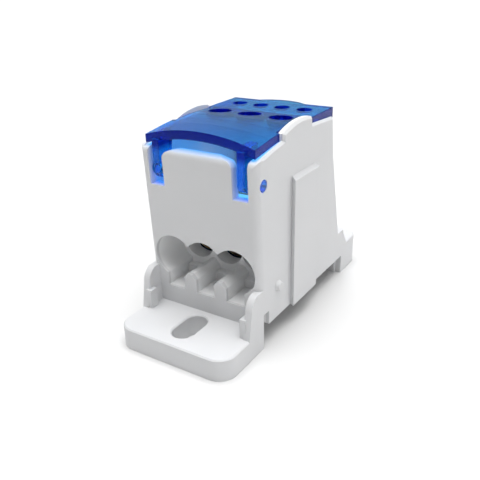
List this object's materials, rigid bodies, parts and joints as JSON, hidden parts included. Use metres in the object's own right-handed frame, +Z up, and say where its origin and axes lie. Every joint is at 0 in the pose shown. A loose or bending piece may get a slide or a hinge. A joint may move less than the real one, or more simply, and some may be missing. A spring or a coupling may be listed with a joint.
{
  "type": "distribution terminal block",
  "caption": "Single-pole distribution terminal block: white housing with slotted feet and a rail channel, brass block with clamp screws, and a hinged clear blue cover.",
  "frame": {"origin": "midway between the two mounting slots, on the plane that the feet stand on", "axes": "+X to the right seen from the front foot, +Y from the front foot to the rear foot, +Z up"},
  "size_m": [0.029, 0.066, 0.0459],
  "materials": {
    "housing_plastic": "satin moulded",
    "brass": "machined",
    "clear_blue_plastic": "clear glossy",
    "screw_steel": "zinc plated"
  },
  "bodies": {
    "base": {"housing": "housing_plastic", "terminal_block": "brass"},
    "cover": {"cover": "clear_blue_plastic"},
    "front_clamp_screw_1": {"front_clamp_screw_1": "screw_steel"},
    "front_clamp_screw_2": {"front_clamp_screw_2": "screw_steel"},
    "front_clamp_screw_3": {"front_clamp_screw_3": "screw_steel"},
    "rear_clamp_screw_1": {"rear_clamp_screw_1": "screw_steel"},
    "rear_clamp_screw_2": {"rear_clamp_screw_2": "screw_steel"},
    "rear_clamp_screw_3": {"rear_clamp_screw_3": "screw_steel"},
    "rear_clamp_screw_4": {"rear_clamp_screw_4": "screw_steel"}
  },
  "joints": [
    {"name": "cover_hinge", "type": "hinge", "parent": "base", "child": "cover", "pos_m": [0, -0.01898, 0.03627], "axis": [1, 0, 0], "range_deg": [0, 100]},
    {"name": "front_clamp_screw_1_travel", "type": "slide", "parent": "base", "child": "front_clamp_screw_1", "axis": [0, 0, 1], "range_m": [-0.0058, 0]},
    {"name": "front_clamp_screw_2_travel", "type": "slide", "parent": "base", "child": "front_clamp_screw_2", "axis": [0, 0, 1], "range_m": [-0.0058, 0]},
    {"name": "front_clamp_screw_3_travel", "type": "slide", "parent": "base", "child": "front_clamp_screw_3", "axis": [0, 0, 1], "range_m": [-0.0058, 0]},
    {"name": "rear_clamp_screw_1_travel", "type": "slide", "parent": "base", "child": "rear_clamp_screw_1", "axis": [0, 0, 1], "range_m": [-0.0036, 0]},
    {"name": "rear_clamp_screw_2_travel", "type": "slide", "parent": "base", "child": "rear_clamp_screw_2", "axis": [0, 0, 1], "range_m": [-0.0036, 0]},
    {"name": "rear_clamp_screw_3_travel", "type": "slide", "parent": "base", "child": "rear_clamp_screw_3", "axis": [0, 0, 1], "range_m": [-0.0036, 0]},
    {"name": "rear_clamp_screw_4_travel", "type": "slide", "parent": "base", "child": "rear_clamp_screw_4", "axis": [0, 0, 1], "range_m": [-0.0036, 0]}
  ]
}
